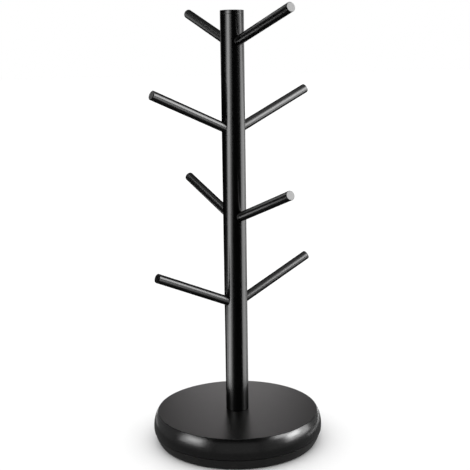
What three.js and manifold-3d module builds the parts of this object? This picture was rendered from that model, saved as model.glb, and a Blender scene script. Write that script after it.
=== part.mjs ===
// A mug tree: crossed pairs of rising arms on a tubular post, over a weighted disc
// that turns on its foot by a ring of balls.
// Millimetres, +Z up. The origin is on the post's axis, on the surface that the tree stands on.
// The first (top) and third pairs of arms lie close to Y, the second and fourth close to X.

import * as THREE from 'three';
import { mergeVertices } from 'three/addons/utils/BufferGeometryUtils.js';
import Module from 'manifold-3d';

const wasm = await Module();
wasm.setup();

// Driving dimensions

const seatGap = 0.3;             // between pieces that seat on, or fit into, each other
const screwPilot = 0.3;          // a screw's hole is this much larger in radius than its shank

const padRadius = 6;
const padHeight = 1.9;
const padStand = 1;              // the pads hold the foot this far off the table
const padCount = 4;
const padCircle = 60;            // radius that the pads' centres lie on

const baseRadius = 75;           // at the widest, half-way up the rounded side
const topFaceRadius = 71;        // where the rounded side meets the flat top
const footHeight = 8.4;
const turningGap = 0.8;          // open seam between the foot and the disc
const discHeight = 17.2;
const footInset = 0.5;           // the foot's side is this far inside the disc's
const discWall = 2;

const postRadius = 10;
const postWall = 1.5;
const postHeight = 347.5;        // from the disc's top to the cap's top
const capRim = 3;
const capSpigot = 9;
const cornerBreak = 0.4;         // chamfer on the cap's and the arms' edges

const armRadius = 4;
const armReach = 85;             // along the arm, from the post's axis to the tip
const armInset = 5.5;            // along the arm, from the post's axis to the inner end
const pairDrops = [28, 100.5, 176, 251];    // from the cap's top down to where each pair meets

// Each arm's heading from +X and rise above level, in degrees. The arms are set in the post
// one by one, so they stray a little from an even layout.
const arms = [
  { name: 'arm_1_front', pair: 0, heading: 270, rise: 18 },
  { name: 'arm_1_back', pair: 0, heading: 86, rise: 20 },
  { name: 'arm_2_right', pair: 1, heading: 1, rise: 24 },
  { name: 'arm_2_left', pair: 1, heading: 180, rise: 23 },
  { name: 'arm_3_front', pair: 2, heading: 270, rise: 20.5 },
  { name: 'arm_3_back', pair: 2, heading: 88, rise: 20.5 },
  { name: 'arm_4_right', pair: 3, heading: 0, rise: 23.5 },
  { name: 'arm_4_left', pair: 3, heading: 180, rise: 23.5 },
];

const plateThickness = 1.2;      // both bearing plates
const plateRadius = 50;
const plateRim = 2.2;            // the lower plate's turned-up edge, over its face
const ballRadius = 2;
const ballCount = 12;
const ballCircle = 40;
const ballPlay = 0.15;           // over and under the balls
const cageThickness = 1;
const cageInner = 35;
const cageOuter = 45;
const cagePlay = 0.25;           // round each ball
const bearingRecess = 4;         // the foot's top is sunk this deep for the lower plate
const recessPlay = 4;            // round the lower plate's edge

const eyeletBore = 11;
const eyeletWall = 1.5;
const eyeletFlange = 3;          // how far both flanges stand out past the wall
const eyeletSheet = 1.2;         // thickness of the flanges
const eyeletPlay = 0.5;          // round and over the flanges

const screwHeadRadius = 3.5;
const screwHeadHeight = 2;
const screwRadius = 1.6;
const screwLength = 5;           // under the head
const screwCount = 4;            // in each bearing plate
const lowerScrewCircle = 20;
const upperScrewCircle = 29;
const accessRadius = 4.5;        // of the hole that lets a driver reach the upper screws
const accessAngle = 45;          // degrees from +X

const ballastRadius = 66;
const ballastBreak = 1.5;        // chamfer on the ballast's upper edge
const ballastWeb = 4;            // thickness that the bolt clamps
const counterbore = 9.5;

const boltRadius = 4;
const boltLength = 35;           // under the head
const boltHeadHeight = 5.3;
const boltAcrossFlats = 13;
const washerRadius = 8;
const washerThickness = 1.6;
const plugHeight = 30;

// Facets round each size of circle, and steps up the base's rounded side

const wideFacets = 72;
const postFacets = 40;
const innerFacets = 36;
const armFacets = 20;
const smallFacets = 12;
const sideSteps = 4;

// Heights, from the table up

const footBottom = padStand;
const footTop = footBottom + footHeight;
const discBottom = footTop + turningGap;
const discTop = discBottom + discHeight;
const postBottom = discTop + seatGap;
const postTop = discTop + postHeight;
const recessFloor = footTop - bearingRecess;
const lowerPlateBottom = recessFloor + seatGap;
const lowerPlateTop = lowerPlateBottom + plateThickness;
const ballHeight = lowerPlateTop + ballPlay + ballRadius;
const upperPlateBottom = ballHeight + ballRadius + ballPlay;
const upperPlateTop = upperPlateBottom + plateThickness;
const ballastBottom = upperPlateTop + seatGap;
const ballastTop = discTop - discWall - seatGap;
const eyeletBottom = lowerPlateBottom - seatGap - eyeletSheet;
const eyeletTop = upperPlateTop + seatGap + eyeletSheet;
const counterboreRoof = ballastTop - ballastWeb;
const washerBottom = counterboreRoof - seatGap - washerThickness;
const boltSeat = washerBottom - seatGap;

// Radii that follow from the ones above

const eyeletRadius = eyeletBore + eyeletWall;
const flangeRadius = eyeletRadius + eyeletFlange;
const flangeRoom = flangeRadius + eyeletPlay;
const plateBore = eyeletRadius + seatGap;
const boltBore = boltRadius + seatGap;
const screwBore = screwRadius + screwPilot;
const tubeBore = postRadius - postWall;

// The disc and the foot share one rounded side: an arc, widest half-way up, that runs from
// the foot's underside to the disc's top.
const sideMiddle = (footBottom + discTop) / 2;
const sideHalf = (discTop - footBottom) / 2;
const sideIn = baseRadius - topFaceRadius;
const sideArc = (sideIn ** 2 + sideHalf ** 2) / (2 * sideIn);

function sideRadius(height) {
  return baseRadius - sideArc + Math.sqrt(sideArc ** 2 - (height - sideMiddle) ** 2);
}

// Points up the rounded side between two heights, a given depth inside it.
function sidePoints(from, to, depth) {
  const points = [];
  for (let step = 0; step <= sideSteps; step += 1) {
    const height = from + (to - from) * step / sideSteps;
    points.push([sideRadius(height) - depth, height]);
  }
  return points;
}

// Shapes

// Turns an outline of [radius, height] points about the Z axis. The outline runs anticlockwise
// and either closes on itself or starts and ends on the axis.
function turned(outline, facets) {
  const points = outline.map(([radius, height]) => new THREE.Vector2(radius, height));
  return new THREE.LatheGeometry(points, facets).rotateX(Math.PI / 2);
}

function ringOutline(inner, outer, bottom, top) {
  return [[inner, bottom], [outer, bottom], [outer, top], [inner, top], [inner, bottom]];
}

function rod(radius, bottom, top, facets) {
  return turned([[0, bottom], [radius, bottom], [radius, top], [0, top]], facets);
}

// Copies of a shape, evenly spaced about the Z axis.
function aroundAxis(shape, count) {
  const copies = [];
  for (let i = 0; i < count; i += 1) {
    copies.push(shape.clone().rotateZ(2 * Math.PI * i / count));
  }
  return copies;
}

function solidOf(shape) {
  const bare = shape.clone();
  bare.deleteAttribute('normal');
  bare.deleteAttribute('uv');
  const merged = mergeVertices(bare);
  const corners = merged.index.array;
  const triangles = [];
  for (let i = 0; i < corners.length; i += 3) {
    const [a, b, c] = corners.slice(i, i + 3);
    if (a !== b && b !== c && c !== a) triangles.push(a, b, c);
  }
  return new wasm.Manifold(new wasm.Mesh({
    numProp: 3,
    vertProperties: merged.attributes.position.array,
    triVerts: new Uint32Array(triangles),
  }));
}

function shapeOf(solid) {
  const { vertProperties, triVerts } = solid.getMesh();
  const shape = new THREE.BufferGeometry();
  shape.setAttribute('position', new THREE.BufferAttribute(vertProperties, 3));
  shape.setIndex(new THREE.BufferAttribute(triVerts, 1));
  return shape;
}

function cut(shape, cutters) {
  let solid = solidOf(shape);
  for (const cutter of cutters) solid = solid.subtract(solidOf(cutter));
  return shapeOf(solid);
}

// Post, cap and arms

// A rod along an arm's line, for the arm itself or for the hole it passes through.
function armRod(radius, from, to, edge) {
  return turned([
    [0, from], [radius - edge, from], [radius, from + edge],
    [radius, to - edge], [radius - edge, to], [0, to],
  ], armFacets);
}

// An object that stands where an arm's line starts, its Z axis along that line.
function onArmLine(object, { pair, heading, rise }) {
  const { degToRad } = THREE.MathUtils;
  object.position.z = postTop - pairDrops[pair];
  object.rotation.set(0, degToRad(90 - rise), degToRad(heading), 'ZYX');
  return object;
}

function armHole(arm) {
  const line = onArmLine(new THREE.Object3D(), arm);
  line.updateMatrix();
  return armRod(armRadius + seatGap, armInset / 2, postRadius * 2, 0).applyMatrix4(line.matrix);
}

function postTube() {
  const tubeTop = postTop - capRim - seatGap;
  const tube = turned(ringOutline(tubeBore, postRadius, postBottom, tubeTop), postFacets);
  return cut(tube, arms.map(armHole));
}

function postCap() {
  const spigot = tubeBore - seatGap;
  const rimBottom = postTop - capRim;
  return turned([
    [0, rimBottom - capSpigot], [spigot, rimBottom - capSpigot], [spigot, rimBottom],
    [postRadius, rimBottom], [postRadius, postTop - cornerBreak],
    [postRadius - cornerBreak, postTop], [0, postTop],
  ], postFacets);
}

function postPlug() {
  const plugTop = postBottom + plugHeight;
  return turned(ringOutline(boltBore, tubeBore - seatGap, postBottom, plugTop), postFacets);
}

// Base disc and what it holds

function baseDisc() {
  const outside = sidePoints(discBottom, discTop, 0);
  const inside = sidePoints(discBottom, discTop - discWall, discWall).reverse();
  return turned([
    [boltBore, discTop - discWall], ...inside, ...outside,
    [boltBore, discTop], [boltBore, discTop - discWall],
  ], wideFacets);
}

function ballast() {
  const flangeTop = eyeletTop + eyeletPlay;
  const block = turned([
    [flangeRoom, ballastBottom], [ballastRadius, ballastBottom],
    [ballastRadius, ballastTop - ballastBreak], [ballastRadius - ballastBreak, ballastTop],
    [boltBore, ballastTop], [boltBore, counterboreRoof], [counterbore, counterboreRoof],
    [counterbore, flangeTop], [flangeRoom, flangeTop], [flangeRoom, ballastBottom],
  ], innerFacets);
  const reach = ballastBottom + screwLength;
  const pilot = rod(screwBore, ballastBottom - 1, reach, smallFacets).translate(upperScrewCircle, 0, 0);
  return cut(block, aroundAxis(pilot, screwCount));
}

function clampBolt() {
  const cornerRadius = boltAcrossFlats / Math.sqrt(3);
  const head = rod(cornerRadius, boltSeat - boltHeadHeight, boltSeat, 6);
  const shank = rod(boltRadius, boltSeat - boltHeadHeight / 2, boltSeat + boltLength, armFacets);
  return shapeOf(solidOf(head).add(solidOf(shank)));
}

function clampWasher() {
  const washerTop = washerBottom + washerThickness;
  return turned(ringOutline(boltBore, washerRadius, washerBottom, washerTop), armFacets);
}

// Bearing

function upperPlate() {
  const plate = turned(ringOutline(plateBore, plateRadius, upperPlateBottom, upperPlateTop), innerFacets);
  const hole = rod(screwBore, upperPlateBottom - 1, upperPlateTop + 1, smallFacets)
    .translate(upperScrewCircle, 0, 0);
  return cut(plate, aroundAxis(hole, screwCount));
}

function accessHole(bottom, top) {
  return rod(accessRadius, bottom - 1, top + 1, smallFacets)
    .translate(upperScrewCircle, 0, 0)
    .rotateZ(THREE.MathUtils.degToRad(accessAngle));
}

function lowerScrewHoles(bottom, top) {
  const hole = rod(screwBore, bottom - 1, top + 1, smallFacets).translate(lowerScrewCircle, 0, 0);
  return aroundAxis(hole, screwCount);
}

function lowerPlate() {
  const rimInside = plateRadius - plateThickness;
  const rimTop = lowerPlateTop + plateRim;
  const plate = turned([
    [plateBore, lowerPlateBottom], [plateRadius, lowerPlateBottom], [plateRadius, rimTop],
    [rimInside, rimTop], [rimInside, lowerPlateTop], [plateBore, lowerPlateTop],
    [plateBore, lowerPlateBottom],
  ], innerFacets);
  const screwHoles = lowerScrewHoles(lowerPlateBottom, lowerPlateTop);
  return cut(plate, [...screwHoles, accessHole(lowerPlateBottom, lowerPlateTop)]);
}

function eyelet() {
  const lowerFlangeTop = eyeletBottom + eyeletSheet;
  const upperFlangeBottom = eyeletTop - eyeletSheet;
  return turned([
    [eyeletBore, eyeletBottom], [flangeRadius, eyeletBottom], [flangeRadius, lowerFlangeTop],
    [eyeletRadius, lowerFlangeTop], [eyeletRadius, upperFlangeBottom],
    [flangeRadius, upperFlangeBottom], [flangeRadius, eyeletTop],
    [eyeletBore, eyeletTop], [eyeletBore, eyeletBottom],
  ], innerFacets);
}

function ballCage() {
  const bottom = ballHeight - cageThickness / 2;
  const top = ballHeight + cageThickness / 2;
  const ring = turned(ringOutline(cageInner, cageOuter, bottom, top), innerFacets);
  const pocket = rod(ballRadius + cagePlay, bottom - 1, top + 1, smallFacets).translate(ballCircle, 0, 0);
  return cut(ring, aroundAxis(pocket, ballCount));
}

function ball() {
  return new THREE.SphereGeometry(ballRadius, smallFacets, smallFacets / 2);
}

// A pan-head screw, its head's flat underside at height 0 and its shank going up.
function screw() {
  return turned([
    [0, -screwHeadHeight], [screwHeadRadius * 0.7, -screwHeadHeight],
    [screwHeadRadius, -screwHeadHeight / 2], [screwHeadRadius, 0], [screwRadius, 0],
    [screwRadius, screwLength - screwRadius], [0, screwLength],
  ], smallFacets);
}

// Foot

function footDisc() {
  const body = turned([
    [flangeRoom, footBottom], ...sidePoints(footBottom, footTop, footInset),
    [plateRadius + recessPlay, footTop], [plateRadius + recessPlay, recessFloor],
    [flangeRoom, recessFloor], [flangeRoom, footBottom],
  ], wideFacets);
  const pocketRoof = padHeight + seatGap;
  const pocket = rod(padRadius + seatGap, footBottom - 1, pocketRoof, armFacets).translate(padCircle, 0, 0);
  const pockets = aroundAxis(pocket, padCount);
  const screwHoles = lowerScrewHoles(footBottom, recessFloor);
  return cut(body, [...pockets, ...screwHoles, accessHole(footBottom, recessFloor)]);
}

function footPad() {
  return rod(padRadius, 0, padHeight, armFacets);
}

// Finishes

const finishes = {
  gloss: { color: 0x0b0b0c, roughness: 0.25, metalness: 0 },
  satin: { color: 0x2a2929, roughness: 0.45, metalness: 0 },
  moulded: { color: 0x1d1d1e, roughness: 0.55, metalness: 0 },
  rubber: { color: 0x141414, roughness: 0.9, metalness: 0 },
  iron: { color: 0x3c3b3a, roughness: 0.8, metalness: 0.6 },
  zinc: { color: 0xa9abad, roughness: 0.35, metalness: 1 },
  steel: { color: 0xc4c6c8, roughness: 0.15, metalness: 1 },
  brass: { color: 0xb08d4c, roughness: 0.3, metalness: 1 },
};

function piece(name, shape, finish) {
  const mesh = new THREE.Mesh(shape, new THREE.MeshStandardMaterial(finishes[finish]));
  mesh.name = name;
  return mesh;
}

// The tree

const mugTree = new THREE.Group();

mugTree.add(piece('post_tube', postTube(), 'gloss'));
mugTree.add(piece('post_cap', postCap(), 'gloss'));
mugTree.add(piece('post_plug', postPlug(), 'zinc'));

for (const arm of arms) {
  const shape = armRod(armRadius, armInset, armReach, cornerBreak);
  mugTree.add(onArmLine(piece(arm.name, shape, 'gloss'), arm));
}

mugTree.add(piece('base_disc', baseDisc(), 'satin'));
mugTree.add(piece('ballast', ballast(), 'iron'));
mugTree.add(piece('clamp_bolt', clampBolt(), 'zinc'));
mugTree.add(piece('clamp_washer', clampWasher(), 'zinc'));
mugTree.add(piece('upper_plate', upperPlate(), 'zinc'));
mugTree.add(piece('lower_plate', lowerPlate(), 'zinc'));
mugTree.add(piece('eyelet', eyelet(), 'zinc'));
mugTree.add(piece('ball_cage', ballCage(), 'brass'));

// Adds numbered pieces, evenly spaced on a circle about the Z axis.
function addCircle(name, count, radius, height, makePiece) {
  for (let i = 0; i < count; i += 1) {
    const angle = 2 * Math.PI * i / count;
    const item = makePiece(`${name}_${i + 1}`);
    item.position.set(radius * Math.cos(angle), radius * Math.sin(angle), height);
    mugTree.add(item);
  }
}

function turnedOver(mesh) {
  mesh.rotation.x = Math.PI;
  return mesh;
}

const upperScrewSeat = upperPlateBottom - seatGap;
const lowerScrewSeat = lowerPlateTop + seatGap;
addCircle('ball', ballCount, ballCircle, ballHeight, name => piece(name, ball(), 'steel'));
addCircle('upper_screw', screwCount, upperScrewCircle, upperScrewSeat,
  name => piece(name, screw(), 'zinc'));
addCircle('lower_screw', screwCount, lowerScrewCircle, lowerScrewSeat,
  name => turnedOver(piece(name, screw(), 'zinc')));

mugTree.add(piece('foot_disc', footDisc(), 'moulded'));
addCircle('foot_pad', padCount, padCircle, 0, name => piece(name, footPad(), 'rubber'));

export default mugTree;
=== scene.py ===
import math

import bmesh
import bpy
import numpy as np
from mathutils import Matrix, Vector


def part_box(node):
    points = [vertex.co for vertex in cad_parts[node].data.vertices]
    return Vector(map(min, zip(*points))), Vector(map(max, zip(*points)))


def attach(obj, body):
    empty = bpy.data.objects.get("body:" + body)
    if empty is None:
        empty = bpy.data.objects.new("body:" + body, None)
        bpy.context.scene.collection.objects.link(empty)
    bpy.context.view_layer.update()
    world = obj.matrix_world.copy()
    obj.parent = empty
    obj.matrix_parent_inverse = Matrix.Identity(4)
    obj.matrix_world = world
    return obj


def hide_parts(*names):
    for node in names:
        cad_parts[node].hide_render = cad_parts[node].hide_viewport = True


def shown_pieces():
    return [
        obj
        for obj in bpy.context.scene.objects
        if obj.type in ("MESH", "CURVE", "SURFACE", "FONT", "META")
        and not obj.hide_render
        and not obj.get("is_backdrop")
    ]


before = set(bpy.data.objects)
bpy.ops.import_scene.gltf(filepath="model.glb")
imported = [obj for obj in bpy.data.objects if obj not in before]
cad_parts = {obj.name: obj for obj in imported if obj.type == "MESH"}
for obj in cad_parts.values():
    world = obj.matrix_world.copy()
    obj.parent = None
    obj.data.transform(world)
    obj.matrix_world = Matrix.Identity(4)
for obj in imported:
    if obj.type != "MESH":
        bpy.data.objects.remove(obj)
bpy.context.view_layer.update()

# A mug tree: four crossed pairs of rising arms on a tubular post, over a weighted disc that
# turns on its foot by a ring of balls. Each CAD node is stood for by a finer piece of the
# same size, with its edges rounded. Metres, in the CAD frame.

MM = 0.001

# Camera: level distance from the post's axis, height over the table, and aim in degrees.
CAMERA_DISTANCE = 0.7827
CAMERA_HEIGHT = 0.3321
CAMERA_AZIMUTH = -33.68
CAMERA_PITCH = 10.63
CAMERA_ROLL = -0.83
CAMERA_LENS = 70.32
SENSOR_WIDTH = 36

BOX_DISTANCE = 1.0              # from the post's axis to each soft box
WALL_DISTANCE = 1.2             # to the dim wall behind them
# Painted shade: a disc round the base that glows dimly in reflections only, standing in for the table in the
# base's shadow
SHADE_DISC_RADIUS = 0.15
SHADE_DISC_GLOW = 0.11

# Roundness of the turned shapes
FINE = 192
MEDIUM = 96
COARSE = 48
ARC_STEPS = 5
SIDE_STEPS = 28
DRILL_TURN = 0.031
MERGE_DISTANCE = 1e-6

# Details that are finer than the CAD part
SEAT = 0.05 * MM                # seen between pieces that seat on each other
SHEET_EDGE = 0.25 * MM          # rounding on stamped sheet
JOINT_EDGE = 0.08 * MM          # rounding where the cap closes on the tube
PAINTED_EDGE = 0.35 * MM        # rounding on the post's and the arms' edges
DISC_EDGE = 0.5 * MM            # rounding where the disc's side meets its flat top
MOULDED_EDGE = 0.6 * MM
WEAR_WIDTH = 0.5 * MM           # how far wear reaches past an edge's rounding

# The parts' sections, where a node's box doesn't give them
TOP_FACE_RADIUS = 71 * MM
DISC_WALL = 2 * MM
FOOT_INSET = 0.5 * MM
POST_WALL = 1.5 * MM
CAP_RIM = 3 * MM
PLATE_SHEET = 1.2 * MM
RECESS_DEPTH = 4 * MM
RECESS_PLAY = 4 * MM
EYELET_BORE = 11 * MM
EYELET_WALL = 1.5 * MM
EYELET_SHEET = 1.2 * MM
EYELET_PLAY = 0.5 * MM
BORE_PLAY = 0.3 * MM
COUNTERBORE = 9.5 * MM
BALLAST_WEB = 4 * MM
BOLT_RADIUS = 4 * MM
BOLT_HEAD = 5.3 * MM
THREAD_PITCH = 1.25 * MM
THREAD_DEPTH = 0.6 * MM
SCREW_RADIUS = 1.6 * MM
SCREW_HEAD_RADIUS = 3.5 * MM
SCREW_HEAD_HEIGHT = 2 * MM
SCREW_THREAD = 0.3 * MM
CROSS_WIDTH = 0.9 * MM
CROSS_LENGTH = 3.6 * MM
CROSS_DEPTH = 1.2 * MM
ACCESS_RADIUS = 4.5 * MM
ACCESS_ANGLE = 45
CAGE_PLAY = 0.25 * MM
POCKET_PLAY = 0.3 * MM

ARMS = [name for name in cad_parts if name.startswith("arm_")]


# Outlines and meshes

def arc_corner(before, corner, after, rounding):
    """Points that round a corner off, from the edge before it to the edge after it."""
    back = (before - corner).normalized()
    ahead = (after - corner).normalized()
    half = back.angle(ahead) / 2
    room = min((before - corner).length, (after - corner).length) * 0.49
    reach = min(rounding / math.tan(half), room)
    centre = corner + (back + ahead).normalized() * reach / math.cos(half)
    start = corner + back * reach - centre
    end = corner + ahead * reach - centre
    turn = start.angle_signed(end)
    points = []
    for step in range(ARC_STEPS + 1):
        angle = -turn * step / ARC_STEPS
        points.append(centre + Matrix.Rotation(angle, 2) @ start)
    return points


def rounded(corners, closed):
    """Outline points (radius, height, wear) from corners (radius, height, rounding).
    Wear is 1 round an edge and 0 on the faces between."""
    places = [Vector(corner[:2]) for corner in corners]
    count = len(corners)
    points = []
    for i, (place, corner) in enumerate(zip(places, corners)):
        rounding = corner[2] if len(corner) > 2 else 0
        inner = closed or 0 < i < count - 1
        if not rounding or not inner:
            points.append((*place, 0.0))
            continue
        before, after = places[i - 1], places[(i + 1) % count]
        arc = arc_corner(before, place, after, rounding)
        for side, end in ((before, arc[0]), (after, arc[-1])):
            gap = (side - end).length
            step = end + (side - end) * min(0.4, WEAR_WIDTH / max(gap, 1e-9))
            lead = (*step, 0.0)
            if side is before:
                points.append(lead)
                points.extend((*p, 1.0) for p in arc)
            else:
                points.append(lead)
    return points


def mesh_piece(name, build):
    """A new object whose mesh is what build makes in a bmesh."""
    mesh = bpy.data.meshes.new(name)
    piece = bpy.data.objects.new(name, mesh)
    bpy.context.scene.collection.objects.link(piece)
    shape = bmesh.new()
    build(shape)
    bmesh.ops.recalc_face_normals(shape, faces=shape.faces)
    shape.to_mesh(mesh)
    shape.free()
    return piece


def turned(name, corners, segments, closed=False):
    """A piece turned about Z from an outline. An open outline starts and ends on the axis."""
    points = rounded(corners, closed)

    def build(shape):
        wear = shape.verts.layers.float.new("wear")
        rings = []
        for radius, height, worn in points:
            around = 1 if radius < 1e-7 else segments
            ring = []
            for i in range(around):
                angle = 2 * math.pi * i / segments
                vert = shape.verts.new((radius * math.cos(angle), radius * math.sin(angle), height))
                vert[wear] = worn
                ring.append(vert)
            rings.append(ring)
        pairs = list(zip(rings, rings[1:]))
        if closed:
            pairs.append((rings[-1], rings[0]))
        for lower, upper in pairs:
            for i in range(segments):
                j = (i + 1) % segments
                face = [lower[i % len(lower)], lower[j % len(lower)],
                        upper[j % len(upper)], upper[i % len(upper)]]
                face = list(dict.fromkeys(face))
                if len(face) > 2:
                    shape.faces.new(face)

    return smooth(mesh_piece(name, build))


def smooth(piece, sharp=40):
    """Shades a piece smoothly, apart from edges sharper than that many degrees."""
    piece.data.shade_smooth()
    piece.data.set_sharp_from_angle(angle=math.radians(sharp))
    if "flat faces" not in piece.modifiers:
        weigh = piece.modifiers.new("flat faces", "WEIGHTED_NORMAL")
        weigh.keep_sharp = True
    return piece


def ring(name, inner, outer, bottom, top, edge, segments):
    corners = [(inner, bottom, edge), (outer, bottom, edge), (outer, top, edge), (inner, top, edge)]
    return turned(name, corners, segments, closed=True)


def merge_close(mesh):
    """Merges the points and slivers that a cut leaves too close together to show."""
    shape = bmesh.new()
    shape.from_mesh(mesh)
    bmesh.ops.remove_doubles(shape, verts=shape.verts, dist=MERGE_DISTANCE)
    bmesh.ops.dissolve_degenerate(shape, edges=shape.edges, dist=MERGE_DISTANCE)
    shape.to_mesh(mesh)
    shape.free()


def combine(piece, others, operation="DIFFERENCE"):
    """Cuts, joins or crosses a piece with other pieces, which are used up."""
    piece.modifiers.clear()
    for other in others:
        other.modifiers.clear()
        step = piece.modifiers.new("cut", "BOOLEAN")
        step.operation = operation
        step.solver = "EXACT"
        step.object = other
    bpy.context.view_layer.update()
    depsgraph = bpy.context.evaluated_depsgraph_get()
    result = bpy.data.meshes.new_from_object(piece.evaluated_get(depsgraph))
    piece.modifiers.clear()
    old = piece.data
    piece.data = result
    bpy.data.meshes.remove(old)
    result.name = piece.name
    merge_close(result)
    for other in others:
        used = other.data
        bpy.data.objects.remove(other)
        bpy.data.meshes.remove(used)
    return smooth(piece)


def drill(radius, bottom, top, place=(0, 0), segments=COARSE):
    """A plain rod that cuts a hole, turned a little so that its corners miss the piece's own."""
    rod = turned("drill", [(0, bottom), (radius, bottom), (radius, top), (0, top)], segments)
    turn = Matrix.Rotation(DRILL_TURN, 4, "Z")
    rod.data.transform(Matrix.Translation((*place, 0)) @ turn)
    return rod


def on_circle(count, radius, first=0):
    """Places evenly spaced on a circle about the axis, as the CAD nodes are numbered."""
    angles = [math.radians(first) + 2 * math.pi * i / count for i in range(count)]
    return [(radius * math.cos(a), radius * math.sin(a)) for a in angles]


def centre_of(node):
    low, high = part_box(node)
    return (low + high) / 2


def circle_of(node):
    """How far from the axis a node's centre lies."""
    return centre_of(node).xy.length


def stand_for(piece, body, slot, material, *nodes):
    """Finishes a piece, sets it on its body, and lets it stand for its CAD nodes."""
    piece.data.materials.clear()
    piece.data.materials.append(material)
    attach(piece, body)
    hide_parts(*nodes)
    return piece


# Materials

def node(tree, kind, settings=None, **inputs):
    """Adds a shader node. Inputs are named with _ for a space; a socket is linked in."""
    made = tree.nodes.new(kind)
    for key, value in (settings or {}).items():
        setattr(made, key, value)
    for key, value in inputs.items():
        wire(tree, made, key.replace("_", " "), value)
    return made


def wire(tree, target, name, value):
    if isinstance(value, bpy.types.NodeSocket):
        tree.links.new(value, target.inputs[name])
    else:
        target.inputs[name].default_value = value


def place(tree, stretch=(1, 1, 1)):
    """The point on the piece, in metres, squeezed along its axes where a grain runs."""
    coordinates = node(tree, "ShaderNodeTexCoord").outputs["Object"]
    scaled = node(tree, "ShaderNodeMapping", Vector=coordinates, Scale=stretch)
    return scaled.outputs["Vector"]


def noise(tree, size, detail=3.0, stretch=(1, 1, 1)):
    """Soft cloudy noise from 0 to 1 whose blotches are about size across, in metres."""
    made = node(tree, "ShaderNodeTexNoise", Vector=place(tree, stretch), Scale=1 / size,
                Detail=detail, Roughness=0.55)
    return made.outputs["Fac"]


def specks(tree, size, share):
    """Dots about size apart: 1 at a dot's middle, and 0 past that share of the spacing."""
    cells = node(tree, "ShaderNodeTexVoronoi", Vector=place(tree), Scale=1 / size)
    return spread(tree, cells.outputs["Distance"], 0, share, 1, 0)


def spread(tree, value, low, high, to_low, to_high):
    made = node(tree, "ShaderNodeMapRange", Value=value, From_Min=low, From_Max=high,
                To_Min=to_low, To_Max=to_high)
    return made.outputs["Result"]


def math_of(tree, operation, first, second):
    made = node(tree, "ShaderNodeMath", {"operation": operation})
    for socket, value in zip(made.inputs, (first, second)):
        if isinstance(value, bpy.types.NodeSocket):
            tree.links.new(value, socket)
        else:
            socket.default_value = value
    return made.outputs["Value"]


def add(tree, *values):
    total = values[0]
    for value in values[1:]:
        total = math_of(tree, "ADD", total, value)
    return total


def times(tree, first, second):
    return math_of(tree, "MULTIPLY", first, second)


def blend(tree, factor, stops):
    """A colour from a factor, by stops of (factor, (red, green, blue))."""
    ramp = node(tree, "ShaderNodeValToRGB", Fac=factor)
    marks = ramp.color_ramp.elements
    while len(marks) < len(stops):
        marks.new(0.5)
    for mark, (position, color) in zip(marks, stops):
        mark.position = position
        mark.color = (*color, 1)
    return ramp.outputs["Color"]


def worn(tree, size, start=0.45, end=0.75):
    """Wear along the edges, broken up into patches of about that size."""
    edge = node(tree, "ShaderNodeAttribute", {"attribute_name": "wear"}).outputs["Fac"]
    return times(tree, edge, spread(tree, noise(tree, size, 4), start, end, 0, 1))


def bumped(tree, *layers):
    """A normal from layers of (height from 0 to 1, depth in metres)."""
    normal = None
    for height, depth in layers:
        bump = node(tree, "ShaderNodeBump", Height=height, Distance=depth)
        if normal:
            tree.links.new(normal, bump.inputs["Normal"])
        normal = bump.outputs["Normal"]
    return normal


def material(name, build, **sockets):
    """A material whose shader takes plain values from sockets, and the rest from build."""
    made = bpy.data.materials.new(name)
    made.use_nodes = True
    tree = made.node_tree
    tree.nodes.clear()
    shader = tree.nodes.new("ShaderNodeBsdfPrincipled")
    output = tree.nodes.new("ShaderNodeOutputMaterial")
    tree.links.new(shader.outputs["BSDF"], output.inputs["Surface"])
    for key, value in {**sockets, **build(tree)}.items():
        wire(tree, shader, key.replace("_", " "), value)
    return made


def enamel(name, gloss, peel, dark, light, index=1.5):
    """Black stove enamel: an even coat with faint orange peel and a few dust nibs."""
    def build(tree):
        cloud = noise(tree, 14 * MM)
        grain = noise(tree, 0.9 * MM, 2)
        nibs = specks(tree, 5 * MM, 0.045)
        rubbed = worn(tree, 2 * MM)
        color = blend(tree, add(tree, times(tree, cloud, 0.8), times(tree, rubbed, 0.5)),
                      [(0.25, dark), (0.75, light), (1.0, (0.012, 0.012, 0.012))])
        roughness = add(tree, gloss, times(tree, cloud, 0.03), times(tree, grain, 0.04),
                        times(tree, rubbed, 0.2))
        normal = bumped(tree, (noise(tree, 2.4 * MM, 1), peel), (grain, peel * 0.2),
                        (nibs, 0.02 * MM))
        return {"Base_Color": color, "Roughness": roughness, "Normal": normal}
    return material(name, build, IOR=index)


def moulded_plastic():
    def build(tree):
        cloud = noise(tree, 9 * MM)
        texture = noise(tree, 0.5 * MM, 2)
        rubbed = worn(tree, 1.5 * MM)
        color = blend(tree, add(tree, times(tree, cloud, 0.7), times(tree, rubbed, 0.4)),
                      [(0.2, (0.008, 0.008, 0.008)), (0.7, (0.014, 0.014, 0.013)),
                       (1.0, (0.05, 0.05, 0.05))])
        roughness = spread(tree, texture, 0.3, 0.7, 0.3, 0.42)
        normal = bumped(tree, (texture, 0.02 * MM), (cloud, 0.05 * MM))
        return {"Base_Color": color, "Roughness": roughness, "Normal": normal}
    return material("moulded_plastic", build, IOR=1.5)


def pad_rubber():
    def build(tree):
        texture = noise(tree, 0.35 * MM, 4)
        dust = spread(tree, noise(tree, 2.5 * MM, 5), 0.5, 0.75, 0, 1)
        color = blend(tree, dust, [(0, (0.016, 0.016, 0.015)), (1, (0.05, 0.048, 0.044))])
        roughness = spread(tree, texture, 0.3, 0.7, 0.72, 0.92)
        normal = bumped(tree, (texture, 0.06 * MM))
        return {"Base_Color": color, "Roughness": roughness, "Normal": normal}
    return material("pad_rubber", build, IOR=1.5)


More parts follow.
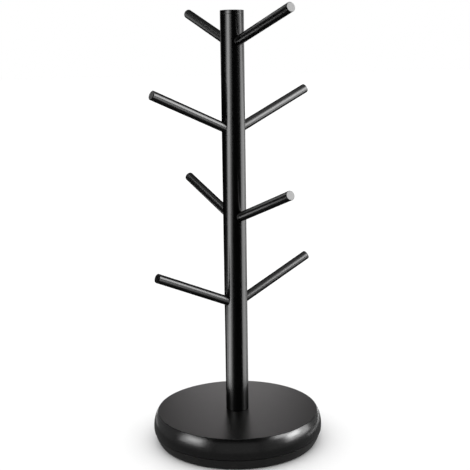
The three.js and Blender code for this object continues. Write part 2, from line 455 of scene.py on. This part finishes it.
def cast_iron():
    def build(tree):
        skin = noise(tree, 1.6 * MM, 6)
        cloud = noise(tree, 18 * MM, 5)
        rust = times(tree, spread(tree, cloud, 0.5, 0.68, 0, 1), spread(tree, skin, 0.4, 0.6, 0, 1))
        color = blend(tree, rust, [(0, (0.045, 0.043, 0.041)), (0.5, (0.08, 0.05, 0.035)),
                                   (1, (0.16, 0.06, 0.025))])
        roughness = spread(tree, skin, 0.3, 0.7, 0.55, 0.85)
        metal = spread(tree, rust, 0, 0.6, 0.8, 0.05)
        normal = bumped(tree, (skin, 0.35 * MM), (specks(tree, 3.5 * MM, 0.2), 0.1 * MM))
        return {"Base_Color": color, "Roughness": roughness, "Metallic": metal, "Normal": normal}
    return material("cast_iron", build)


def zinc_plate():
    def build(tree):
        cells = node(tree, "ShaderNodeTexVoronoi", Vector=place(tree), Scale=1 / (2.2 * MM))
        spangle = node(tree, "ShaderNodeSeparateColor", Color=cells.outputs["Color"]).outputs[0]
        tint = noise(tree, 11 * MM, 2)
        rubbed = worn(tree, 1.2 * MM)
        mixed = add(tree, times(tree, tint, 0.7), times(tree, spangle, 0.3))
        color = blend(tree, mixed, [(0.2, (0.44, 0.48, 0.54)), (0.5, (0.58, 0.58, 0.57)),
                                    (0.8, (0.62, 0.57, 0.46))])
        roughness = add(tree, 0.24, times(tree, spangle, 0.08), times(tree, rubbed, -0.1),
                        times(tree, noise(tree, 0.6 * MM, 3), 0.08))
        normal = bumped(tree, (noise(tree, 0.8 * MM, 3), 0.008 * MM), (spangle, 0.003 * MM))
        return {"Base_Color": color, "Roughness": roughness, "Normal": normal}
    return material("zinc_plate", build, Metallic=1.0)


def bearing_steel():
    def build(tree):
        film = noise(tree, 1.5 * MM, 3)
        marks = noise(tree, 0.25 * MM, 2, stretch=(1, 1, 4))
        color = blend(tree, film, [(0.3, (0.60, 0.61, 0.63)), (0.7, (0.70, 0.70, 0.70))])
        roughness = add(tree, 0.04, times(tree, film, 0.12), times(tree, marks, 0.05))
        normal = bumped(tree, (marks, 0.001 * MM))
        return {"Base_Color": color, "Roughness": roughness, "Normal": normal}
    return material("bearing_steel", build, Metallic=1.0)


def sheet_brass():
    def build(tree):
        grain = noise(tree, 0.5 * MM, 3, stretch=(0.08, 1, 1))
        tarnish = noise(tree, 6 * MM, 4)
        rubbed = worn(tree, 1.2 * MM)
        color = blend(tree, add(tree, tarnish, times(tree, rubbed, 0.25)),
                      [(0.3, (0.36, 0.24, 0.09)), (0.6, (0.58, 0.40, 0.15)),
                       (0.9, (0.72, 0.54, 0.24))])
        roughness = add(tree, 0.2, times(tree, grain, 0.15), times(tree, tarnish, 0.12))
        normal = bumped(tree, (grain, 0.006 * MM))
        return {"Base_Color": color, "Roughness": roughness, "Normal": normal}
    return material("sheet_brass", build, Metallic=1.0)


GLOSS_PAINT = enamel("gloss_enamel", 0.17, 0.008 * MM, (0.0002, 0.0002, 0.0002), (0.0006, 0.0006, 0.0006))
ARM_PAINT = enamel("arm_enamel", 0.27, 0.005 * MM, (0.0004, 0.0004, 0.0004), (0.0010, 0.0010, 0.0010))
SATIN_PAINT = enamel("satin_enamel", 0.36, 0.015 * MM, (0.0010, 0.0009, 0.0009), (0.0022, 0.0020, 0.0020))
SIDE_PAINT = enamel("side_enamel", 0.19, 0.03 * MM, (0.0006, 0.0006, 0.0006), (0.0014, 0.0014, 0.0014), 1.8)
PLASTIC = moulded_plastic()
RUBBER = pad_rubber()
IRON = cast_iron()
ZINC = zinc_plate()
STEEL = bearing_steel()
BRASS = sheet_brass()


# Post, cap and arms

def arm_line(name):
    """Where an arm's axis starts, its direction, its length and its radius."""
    verts = np.array([vert.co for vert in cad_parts[name].data.vertices])
    middle = verts.mean(0)
    direction = np.linalg.svd(verts - middle, full_matrices=False)[2][0]
    if direction[2] < 0:
        direction = -direction
    along = (verts - middle) @ direction
    radius = np.linalg.norm(verts - middle - np.outer(along, direction), axis=1).max()
    start = Vector(middle + direction * along.min())
    return start, Vector(direction), float(np.ptp(along)), float(radius)


def along_arm(name):
    """The matrix that stands a piece on an arm's line, its Z axis along it."""
    start, direction, _, _ = arm_line(name)
    return Matrix.Translation(start) @ direction.to_track_quat("Z", "Y").to_matrix().to_4x4()


def arm(name):
    _, _, length, radius = arm_line(name)
    piece = turned(name + "_rod", [
        (0, 0), (radius, 0, PAINTED_EDGE), (radius, length, PAINTED_EDGE), (0, length),
    ], MEDIUM)
    piece.matrix_world = along_arm(name)
    stand_for(piece, "tree", "gloss_paint", ARM_PAINT, name)


def arm_hole(name):
    _, _, length, radius = arm_line(name)
    hole = drill(radius + SEAT, -radius, length / 2, segments=MEDIUM)
    hole.data.transform(along_arm(name))
    return hole


def post_tube():
    low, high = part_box("post_tube")
    rim_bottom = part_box("post_cap")[1].z - CAP_RIM
    inner, bottom, top = high.x - POST_WALL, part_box("base_disc")[1].z + SEAT, rim_bottom - SEAT
    tube = turned("post_shell", [
        (inner, bottom, PAINTED_EDGE), (high.x, bottom, PAINTED_EDGE),
        (high.x, top, JOINT_EDGE), (inner, top, JOINT_EDGE),
    ], MEDIUM * 2, closed=True)
    combine(tube, [arm_hole(name) for name in ARMS])
    stand_for(tube, "tree", "gloss_paint", GLOSS_PAINT, "post_tube")


def post_cap():
    low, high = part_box("post_cap")
    rim_bottom = high.z - CAP_RIM
    spigot = high.x - POST_WALL - SEAT
    cap = turned("post_top_cap", [
        (0, low.z), (spigot, low.z, PAINTED_EDGE), (spigot, rim_bottom), (high.x, rim_bottom, JOINT_EDGE),
        (high.x, high.z, PAINTED_EDGE), (0, high.z),
    ], MEDIUM * 2)
    stand_for(cap, "tree", "gloss_paint", GLOSS_PAINT, "post_cap")


def post_plug():
    low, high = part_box("post_plug")
    plug = ring("post_foot_plug", BOLT_RADIUS + BORE_PLAY, high.x, low.z, high.z, SHEET_EDGE, MEDIUM)
    stand_for(plug, "tree", "zinc_steel", ZINC, "post_plug")


# Base disc, foot and what they hold

DISC_LOW, DISC_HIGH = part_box("base_disc")
FOOT_LOW, FOOT_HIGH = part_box("foot_disc")
BASE_RADIUS = DISC_HIGH.x
SIDE_MIDDLE = (FOOT_LOW.z + DISC_HIGH.z) / 2
SIDE_HALF = (DISC_HIGH.z - FOOT_LOW.z) / 2
SIDE_IN = BASE_RADIUS - TOP_FACE_RADIUS
SIDE_ARC = (SIDE_IN ** 2 + SIDE_HALF ** 2) / (2 * SIDE_IN)


def side_radius(height):
    """The base's rounded side: one arc from the foot's underside to the disc's top."""
    return BASE_RADIUS - SIDE_ARC + math.sqrt(SIDE_ARC ** 2 - (height - SIDE_MIDDLE) ** 2)


def side(bottom, top, depth, edges=(0, 0)):
    """Corners up the rounded side, a given depth inside it, with its two end edges rounded."""
    corners = []
    for step in range(SIDE_STEPS + 1):
        height = bottom + (top - bottom) * step / SIDE_STEPS
        corners.append((side_radius(height) - depth, height, 0))
    corners[0] = (*corners[0][:2], edges[0])
    corners[-1] = (*corners[-1][:2], edges[1])
    return corners


def base_disc():
    roof = DISC_HIGH.z - DISC_WALL
    bore = BOLT_RADIUS + BORE_PLAY
    disc = turned("base_shell", [
        (bore, roof, SHEET_EDGE),
        *reversed(side(DISC_LOW.z, roof, DISC_WALL, (SHEET_EDGE, DISC_EDGE))),
        *side(DISC_LOW.z, DISC_HIGH.z, 0, (MOULDED_EDGE, DISC_EDGE)),
        (bore, DISC_HIGH.z, SHEET_EDGE),
    ], FINE, closed=True)
    stand_for(disc, "tree", "base_paint", SATIN_PAINT, "base_disc")
    disc.data.materials.append(SIDE_PAINT)
    for face in disc.data.polygons:
        flat = face.center.z > DISC_HIGH.z - DISC_EDGE and face.center.xy.length < TOP_FACE_RADIUS
        face.material_index = 0 if flat else 1


def ballast():
    low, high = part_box("ballast")
    flange_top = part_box("eyelet")[1].z + EYELET_PLAY
    flange_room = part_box("eyelet")[1].x + EYELET_PLAY
    bore = BOLT_RADIUS + BORE_PLAY
    block = turned("ballast_casting", [
        (flange_room, low.z, MOULDED_EDGE), (high.x, low.z, MOULDED_EDGE), (high.x, high.z, 3 * MOULDED_EDGE),
        (bore, high.z, SHEET_EDGE), (bore, high.z - BALLAST_WEB, SHEET_EDGE),
        (COUNTERBORE, high.z - BALLAST_WEB, SHEET_EDGE), (COUNTERBORE, flange_top, SHEET_EDGE),
        (flange_room, flange_top, SHEET_EDGE),
    ], FINE, closed=True)
    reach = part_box("upper_screw_1")[1].z
    pilots = [drill(SCREW_RADIUS + POCKET_PLAY, low.z - MM, reach + SEAT, spot)
              for spot in on_circle(4, circle_of("upper_screw_1"))]
    combine(block, pilots)
    stand_for(block, "tree", "ballast_iron", IRON, "ballast")


def threaded(radius, bottom, top, pitch, depth):
    """Corners up a threaded shank, from its start at the bottom to near its end."""
    corners = []
    turns = int((top - bottom) / pitch)
    for turn in range(turns):
        foot = bottom + turn * pitch
        corners.append((radius - depth, foot))
        corners.append((radius, foot + pitch / 2))
    corners.append((radius - depth, bottom + turns * pitch))
    return corners


def clamp_bolt():
    low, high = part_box("clamp_bolt")
    seat = low.z + BOLT_HEAD
    corner = high.x
    shank = turned("clamp_bolt_shank", [
        (0, seat - BOLT_HEAD / 2), (BOLT_RADIUS, seat - BOLT_HEAD / 2), (BOLT_RADIUS, seat + 3 * MM),
        *threaded(BOLT_RADIUS, seat + 4 * MM, high.z - MM, THREAD_PITCH, THREAD_DEPTH),
        (BOLT_RADIUS - 2 * THREAD_DEPTH, high.z), (0, high.z),
    ], COARSE)
    crown = turned("crown", [
        (0, low.z), (corner * 0.82, low.z), (corner * 1.01, low.z + MM), (corner * 1.01, seat), (0, seat),
    ], MEDIUM)
    hexagon = turned("clamp_bolt_piece", [(0, low.z), (corner, low.z), (corner, seat), (0, seat)], 6)
    combine(hexagon, [crown], "INTERSECT")
    combine(hexagon, [shank], "UNION")
    stand_for(hexagon, "tree", "zinc_steel", ZINC, "clamp_bolt")


def clamp_washer():
    low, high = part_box("clamp_washer")
    washer = ring("clamp_washer_piece", BOLT_RADIUS + BORE_PLAY, high.x, low.z, high.z, SHEET_EDGE, MEDIUM)
    stand_for(washer, "tree", "zinc_steel", ZINC, "clamp_washer")


# Bearing

def screw_drills(node_name, bottom, top):
    return [drill(SCREW_RADIUS + POCKET_PLAY, bottom - MM, top + MM, spot)
            for spot in on_circle(4, circle_of(node_name))]


def access_drill(bottom, top):
    spot = on_circle(1, circle_of("upper_screw_1"), ACCESS_ANGLE)[0]
    return drill(ACCESS_RADIUS, bottom - MM, top + MM, spot)


def upper_plate():
    low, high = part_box("upper_plate")
    bore = EYELET_BORE + EYELET_WALL + BORE_PLAY
    plate = ring("upper_plate_piece", bore, high.x, low.z, high.z, SHEET_EDGE, FINE)
    combine(plate, screw_drills("upper_screw_1", low.z, high.z))
    stand_for(plate, "tree", "zinc_steel", ZINC, "upper_plate")


def lower_plate():
    low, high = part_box("lower_plate")
    bore = EYELET_BORE + EYELET_WALL + BORE_PLAY
    face = low.z + PLATE_SHEET
    plate = turned("lower_plate_piece", [
        (bore, low.z, SHEET_EDGE), (high.x, low.z, PLATE_SHEET), (high.x, high.z, SHEET_EDGE),
        (high.x - PLATE_SHEET, high.z, SHEET_EDGE), (high.x - PLATE_SHEET, face, SHEET_EDGE),
        (bore, face, SHEET_EDGE),
    ], FINE, closed=True)
    combine(plate, [*screw_drills("lower_screw_1", low.z, face), access_drill(low.z, face)])
    stand_for(plate, "foot", "zinc_steel", ZINC, "lower_plate")


def eyelet():
    low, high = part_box("eyelet")
    wall = EYELET_BORE + EYELET_WALL
    rolled = EYELET_SHEET * 0.45
    tube = turned("eyelet_piece", [
        (EYELET_BORE, low.z, EYELET_SHEET), (high.x, low.z, rolled), (high.x, low.z + EYELET_SHEET, rolled),
        (wall, low.z + EYELET_SHEET, SHEET_EDGE), (wall, high.z - EYELET_SHEET, SHEET_EDGE),
        (high.x, high.z - EYELET_SHEET, rolled), (high.x, high.z, rolled), (EYELET_BORE, high.z, EYELET_SHEET),
    ], FINE, closed=True)
    stand_for(tube, "foot", "zinc_steel", ZINC, "eyelet")


def ball_cage():
    low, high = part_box("ball_cage")
    ball_low, ball_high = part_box("ball_1")
    pocket = (ball_high.z - ball_low.z) / 2 + CAGE_PLAY
    thickness = high.z - low.z
    inner = 2 * circle_of("ball_1") - high.x
    cage = ring("ball_cage_piece", inner, high.x, low.z, high.z, thickness / 4, FINE)
    pockets = [drill(pocket, low.z - MM, high.z + MM, spot) for spot in on_circle(12, circle_of("ball_1"))]
    combine(cage, pockets)
    stand_for(cage, "cage", "cage_brass", BRASS, "ball_cage")


def balls():
    low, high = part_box("ball_1")
    radius = (high.z - low.z) / 2
    steps = COARSE // 2
    half_turn = [(radius * math.sin(math.pi * i / steps), -radius * math.cos(math.pi * i / steps))
                 for i in range(steps + 1)]
    half_turn[0] = (0, -radius)
    half_turn[-1] = (0, radius)
    for number in range(1, 13):
        piece = turned(f"bearing_ball_{number}", half_turn, COARSE)
        piece.matrix_world = Matrix.Translation(centre_of(f"ball_{number}"))
        stand_for(piece, "cage", "ball_steel", STEEL, f"ball_{number}")


def screw(name):
    """A pan-head screw with a cross recess, its head's flat underside at height 0."""
    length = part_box("upper_screw_1")[1].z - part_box("upper_screw_1")[0].z - SCREW_HEAD_HEIGHT
    core = SCREW_RADIUS - SCREW_THREAD
    piece = turned(name, [
        (0, -SCREW_HEAD_HEIGHT), (SCREW_HEAD_RADIUS * 0.75, -SCREW_HEAD_HEIGHT, 2 * MOULDED_EDGE),
        (SCREW_HEAD_RADIUS, -SCREW_HEAD_HEIGHT * 0.45, MOULDED_EDGE),
        (SCREW_HEAD_RADIUS, 0, SHEET_EDGE / 2), (core, 0),
        *threaded(SCREW_RADIUS, 0.4 * MM, length - SCREW_RADIUS, SCREW_RADIUS / 2, SCREW_THREAD),
        (0, length),
    ], COARSE)
    for turn in (0, 90):
        bar = mesh_piece("cross", cross_bar(turn))
        combine(piece, [bar])
    return piece


def cross_bar(turn):
    """One bar of the cross that presses a screw head's recess, wide at the head's face."""
    def build(shape):
        bar = bmesh.ops.create_cube(shape, size=1)["verts"]
        for vert in bar:
            deep = vert.co.z > 0
            vert.co.x *= CROSS_LENGTH * (0.35 if deep else 1)
            vert.co.y *= CROSS_WIDTH * (0.7 if deep else 1)
            vert.co.z = -SCREW_HEAD_HEIGHT + (CROSS_DEPTH if deep else -SEAT)
        bmesh.ops.rotate(shape, verts=bar, matrix=Matrix.Rotation(math.radians(turn), 3, "Z"))
    return build


def screws(kind, body, seat, turn):
    """Four screws of one kind, with their heads' undersides at the seat's height."""
    pattern = screw(f"{kind}_pattern")
    for number, spot in enumerate(on_circle(4, circle_of(f"{kind}_1")), start=1):
        piece = bpy.data.objects.new(f"{kind}_{number}_piece", pattern.data.copy())
        bpy.context.scene.collection.objects.link(piece)
        smooth(piece)
        twist = Matrix.Rotation(math.radians(37 * number), 4, "Z")
        piece.matrix_world = Matrix.Translation((*spot, seat)) @ turn @ twist
        stand_for(piece, body, "zinc_steel", ZINC, f"{kind}_{number}")
    bpy.data.objects.remove(pattern)


# Foot

def foot_disc():
    plate_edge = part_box("lower_plate")[1].x + RECESS_PLAY
    recess = FOOT_HIGH.z - RECESS_DEPTH
    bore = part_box("eyelet")[1].x + EYELET_PLAY
    body = turned("foot_shell", [
        (bore, FOOT_LOW.z, MOULDED_EDGE),
        *side(FOOT_LOW.z, FOOT_HIGH.z, FOOT_INSET, (MOULDED_EDGE, MOULDED_EDGE)),
        (plate_edge, FOOT_HIGH.z, MOULDED_EDGE), (plate_edge, recess, MOULDED_EDGE),
        (bore, recess, MOULDED_EDGE),
    ], FINE, closed=True)
    pad_low, pad_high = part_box("foot_pad_1")
    pad_radius = (pad_high.x - pad_low.x) / 2
    pockets = [drill(pad_radius + POCKET_PLAY, FOOT_LOW.z - MM, pad_high.z + SEAT, spot)
               for spot in on_circle(4, circle_of("foot_pad_1"))]
    holes = screw_drills("lower_screw_1", FOOT_LOW.z, recess)
    combine(body, [*pockets, *holes, access_drill(FOOT_LOW.z, recess)])
    stand_for(body, "foot", "foot_plastic", PLASTIC, "foot_disc")


def foot_pads():
    low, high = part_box("foot_pad_1")
    radius = (high.x - low.x) / 2
    for number in range(1, 5):
        pad = turned(f"rubber_pad_{number}", [
            (0, low.z), (radius * 0.55, low.z, MOULDED_EDGE), (radius * 0.62, low.z + 0.3 * MM, MOULDED_EDGE),
            (radius * 0.7, low.z, MOULDED_EDGE), (radius, low.z, MOULDED_EDGE),
            (radius, high.z, SHEET_EDGE), (0, high.z),
        ], MEDIUM)
        spot = centre_of(f"foot_pad_{number}")
        pad.matrix_world = Matrix.Translation((spot.x, spot.y, 0))
        stand_for(pad, "foot", "pad_rubber", RUBBER, f"foot_pad_{number}")


for arm_name in ARMS:
    arm(arm_name)
post_tube()
post_cap()
post_plug()
base_disc()
ballast()
clamp_bolt()
clamp_washer()
upper_plate()
lower_plate()
eyelet()
ball_cage()
balls()
screws("upper_screw", "tree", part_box("upper_screw_1")[0].z + SCREW_HEAD_HEIGHT, Matrix.Identity(4))
screws("lower_screw", "foot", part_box("lower_screw_1")[1].z - SCREW_HEAD_HEIGHT,
       Matrix.Rotation(math.pi, 4, "X"))
foot_disc()
foot_pads()


# Camera

def aim_camera():
    lens = bpy.data.cameras.new("camera")
    lens.lens = CAMERA_LENS
    lens.sensor_width = SENSOR_WIDTH
    camera = bpy.data.objects.new("camera", lens)
    bpy.context.scene.collection.objects.link(camera)
    round_post = Matrix.Rotation(math.radians(CAMERA_AZIMUTH), 4, "Z")
    stand = Matrix.Translation((0, -CAMERA_DISTANCE, CAMERA_HEIGHT))
    tilt = Matrix.Rotation(math.radians(90 - CAMERA_PITCH), 4, "X")
    roll = Matrix.Rotation(math.radians(CAMERA_ROLL), 4, "Z")
    camera.matrix_world = round_post @ stand @ tilt @ roll
    bpy.context.scene.camera = camera


# Studio: a pale floor, and soft boxes that stand round the object in a dark room. The post,
# its arms, and the base with what it holds each have soft boxes of their own.

def lit_group(name, chosen):
    """The pieces whose names are chosen, as a group that soft boxes can be kept to."""
    group = bpy.data.collections.new(name)
    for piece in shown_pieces():
        if chosen(piece.name):
            group.objects.link(piece)
    return group


def area_light(name, group, width, height, radiance, matrix, color=(1, 1, 1)):
    """A soft box of that size, kept to a group. Its radiance is against 1 for white."""
    lamp = bpy.data.lights.new(name, "AREA")
    lamp.shape = "RECTANGLE"
    lamp.size = width
    lamp.size_y = height
    lamp.energy = radiance * math.pi * width * height
    lamp.color = color
    light = bpy.data.objects.new(name, lamp)
    bpy.context.scene.collection.objects.link(light)
    light.matrix_world = matrix
    light.visible_camera = False
    light.light_linking.receiver_collection = group


def soft_box(name, group, azimuth, width, bottom, top, radiance, lean=0,
             distance=BOX_DISTANCE, color=(1, 1, 1)):
    """An upright soft box that faces the post. Azimuth is in degrees round to the right of
    the camera, and lean tips its top away to the right."""
    round_post = Matrix.Rotation(math.radians(CAMERA_AZIMUTH + azimuth), 4, "Z")
    stand = Matrix.Translation((0, -distance, (bottom + top) / 2))
    turn = Matrix.Rotation(math.pi / 2, 4, "X") @ Matrix.Rotation(math.radians(-lean), 4, "Z")
    area_light(name, group, width, top - bottom, radiance, round_post @ stand @ turn, color)


def light_post():
    """A slanted box on the left and an upright one on the right, for the post's stripes."""
    post = lit_group("lit_post", lambda name: name.startswith("post_"))
    area_light("post_overhead", post, 1.6, 1.6, 0.8, Matrix.Translation((0, 0, 1.6)))
    soft_box("post_left", post, -58, 0.42, -0.75, 0.80, 4.6, lean=45)
    soft_box("post_left_edge", post, -44, 0.50, -0.75, 0.85, 1.8, lean=45)
    soft_box("post_left_high", post, -50, 0.60, 0.15, 0.60, 1.6)
    soft_box("post_left_low", post, -98, 0.7, -0.45, -0.15, 2.5)
    soft_box("post_right", post, 90, 0.70, -0.65, 0.44, 3.0, lean=25)
    soft_box("post_right_edge", post, 98, 1.1, -0.65, 0.44, 1.4, lean=20)
    soft_box("post_right_back", post, 136, 0.6, -0.50, 0.44, 0.8)
    soft_box("post_key", post, 75, 0.65, 0.46, 1.50, 6)
    soft_box("post_back", post, 180, 2.0, 0.30, 1.00, 0.3)


def light_arms():
    """A tall key on the right, a high one on the left, and low boxes for the undersides."""
    arms = lit_group("lit_arms", lambda name: name.startswith("arm_"))
    area_light("arms_overhead", arms, 1.6, 1.6, 0.6, Matrix.Translation((0, 0, 1.6)))
    soft_box("arms_right", arms, 74, 0.75, 0.30, 1.10, 13)
    soft_box("arms_right_high", arms, 72, 0.90, 1.10, 1.80, 3)
    soft_box("arms_right_low", arms, 88, 0.50, -0.20, 0.28, 5.5)
    soft_box("arms_front_low", arms, 46, 0.50, -0.50, 0.05, 4.5)
    soft_box("arms_left_high", arms, -92, 0.60, 1.12, 1.85, 6)
    soft_box("arms_left_low", arms, -120, 0.40, -0.50, -0.15, 6)
    soft_box("arms_left_back", arms, -140, 0.60, 0.30, 0.80, 1.8)
    soft_box("arms_back", arms, 180, 0.40, 0.05, 0.30, 2.5)


def light_base():
    """A dim wall all round and overhead, keys on the right and left for the shoulder, and a
    narrow box behind, which the post's reflection hides on the top."""
    held = ("post_", "arm_")
    base = lit_group("lit_base", lambda name: not name.startswith(held))
    for azimuth in range(0, 360, 60):
        soft_box(f"base_wall_{azimuth}", base, azimuth, 1.3, -0.45, 0.65, 0.2, distance=WALL_DISTANCE)
    area_light("base_overhead", base, 1.6, 1.6, 0.5, Matrix.Translation((0, 0, 1.6)))
    soft_box("base_right", base, 80, 0.36, 0.22, 0.46, 8)
    soft_box("base_right_high", base, 62, 0.36, 0.45, 0.70, 5)
    soft_box("base_right_wide", base, 86, 0.80, 0.05, 0.50, 3)
    soft_box("base_left", base, -60, 0.36, 0.22, 0.47, 3)
    soft_box("base_left_wide", base, -62, 0.60, 0.05, 0.60, 2)
    soft_box("base_back", base, 180, 0.24, 0.05, 0.40, 1.9, color=(1, 0.96, 0.97))
    soft_box("base_right_rim", base, 132, 1.1, -0.50, -0.15, 2)
    soft_box("base_left_rim", base, -148, 0.6, -0.50, -0.15, 1.2)


def floor_light():
    """Light from overhead that only the floor's own white shows, never a reflection."""
    lamp = bpy.data.lights.new("floor_light", "SUN")
    lamp.energy = 4.2
    lamp.angle = math.radians(120)
    light = bpy.data.objects.new("floor_light", lamp)
    light.visible_glossy = False
    bpy.context.scene.collection.objects.link(light)


def pale_floor():
    """A wide pale floor, seen from above only and not in reflections."""
    def build(shape):
        bmesh.ops.create_grid(shape, x_segments=1, y_segments=1, size=20)
    floor = mesh_piece("floor", build)
    paint = bpy.data.materials.new("pale_floor")
    paint.use_nodes = True
    tree = paint.node_tree
    tree.nodes.clear()
    pale = node(tree, "ShaderNodeBsdfDiffuse", Color=(0.8, 0.8, 0.8, 1)).outputs[0]
    clear = node(tree, "ShaderNodeBsdfTransparent").outputs[0]
    under = node(tree, "ShaderNodeNewGeometry").outputs["Backfacing"]
    mix = node(tree, "ShaderNodeMixShader", Fac=under)
    tree.links.new(pale, mix.inputs[1])
    tree.links.new(clear, mix.inputs[2])
    output = node(tree, "ShaderNodeOutputMaterial")
    tree.links.new(mix.outputs[0], output.inputs["Surface"])
    floor.data.materials.append(paint)
    floor.visible_glossy = False
    floor.visible_shadow = False
    floor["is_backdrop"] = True


def dark_card():
    """A disc on the table round the base that glows dimly and that only reflections see: painted shade,
    standing in for the table in the base's own shadow.
    """
    def build(shape):
        bmesh.ops.create_circle(shape, cap_ends=True, segments=COARSE, radius=SHADE_DISC_RADIUS)
    shade_card = mesh_piece("dark_card", build)
    shade_card.location.z = -0.2 * MM
    paint = bpy.data.materials.new("dark_card")
    paint.use_nodes = True
    tree = paint.node_tree
    tree.nodes.clear()
    # Its dim glow is painted shade: the shaded table round the base, as reflections see it
    glow = node(tree, "ShaderNodeEmission", Color=(1, 1, 1, 1), Strength=SHADE_DISC_GLOW)
    output = node(tree, "ShaderNodeOutputMaterial")
    tree.links.new(glow.outputs[0], output.inputs["Surface"])
    shade_card.data.materials.append(paint)
    shade_card.visible_camera = False
    shade_card.visible_diffuse = False
    shade_card.visible_shadow = False
    shade_card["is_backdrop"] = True


def white_room():
    """White to the camera, and nearly dark to everything else."""
    world = bpy.data.worlds.new("room")
    bpy.context.scene.world = world
    world.use_nodes = True
    tree = world.node_tree
    tree.nodes.clear()
    seen = node(tree, "ShaderNodeLightPath").outputs["Is Camera Ray"]
    level = spread(tree, seen, 0, 1, 0.004, 1)
    background = node(tree, "ShaderNodeBackground", Color=(1, 1, 1, 1), Strength=level)
    output = node(tree, "ShaderNodeOutputWorld")
    tree.links.new(background.outputs[0], output.inputs["Surface"])


aim_camera()
white_room()
pale_floor()
dark_card()
floor_light()
light_post()
light_arms()
light_base()
bpy.context.scene.view_settings.view_transform = "Standard"
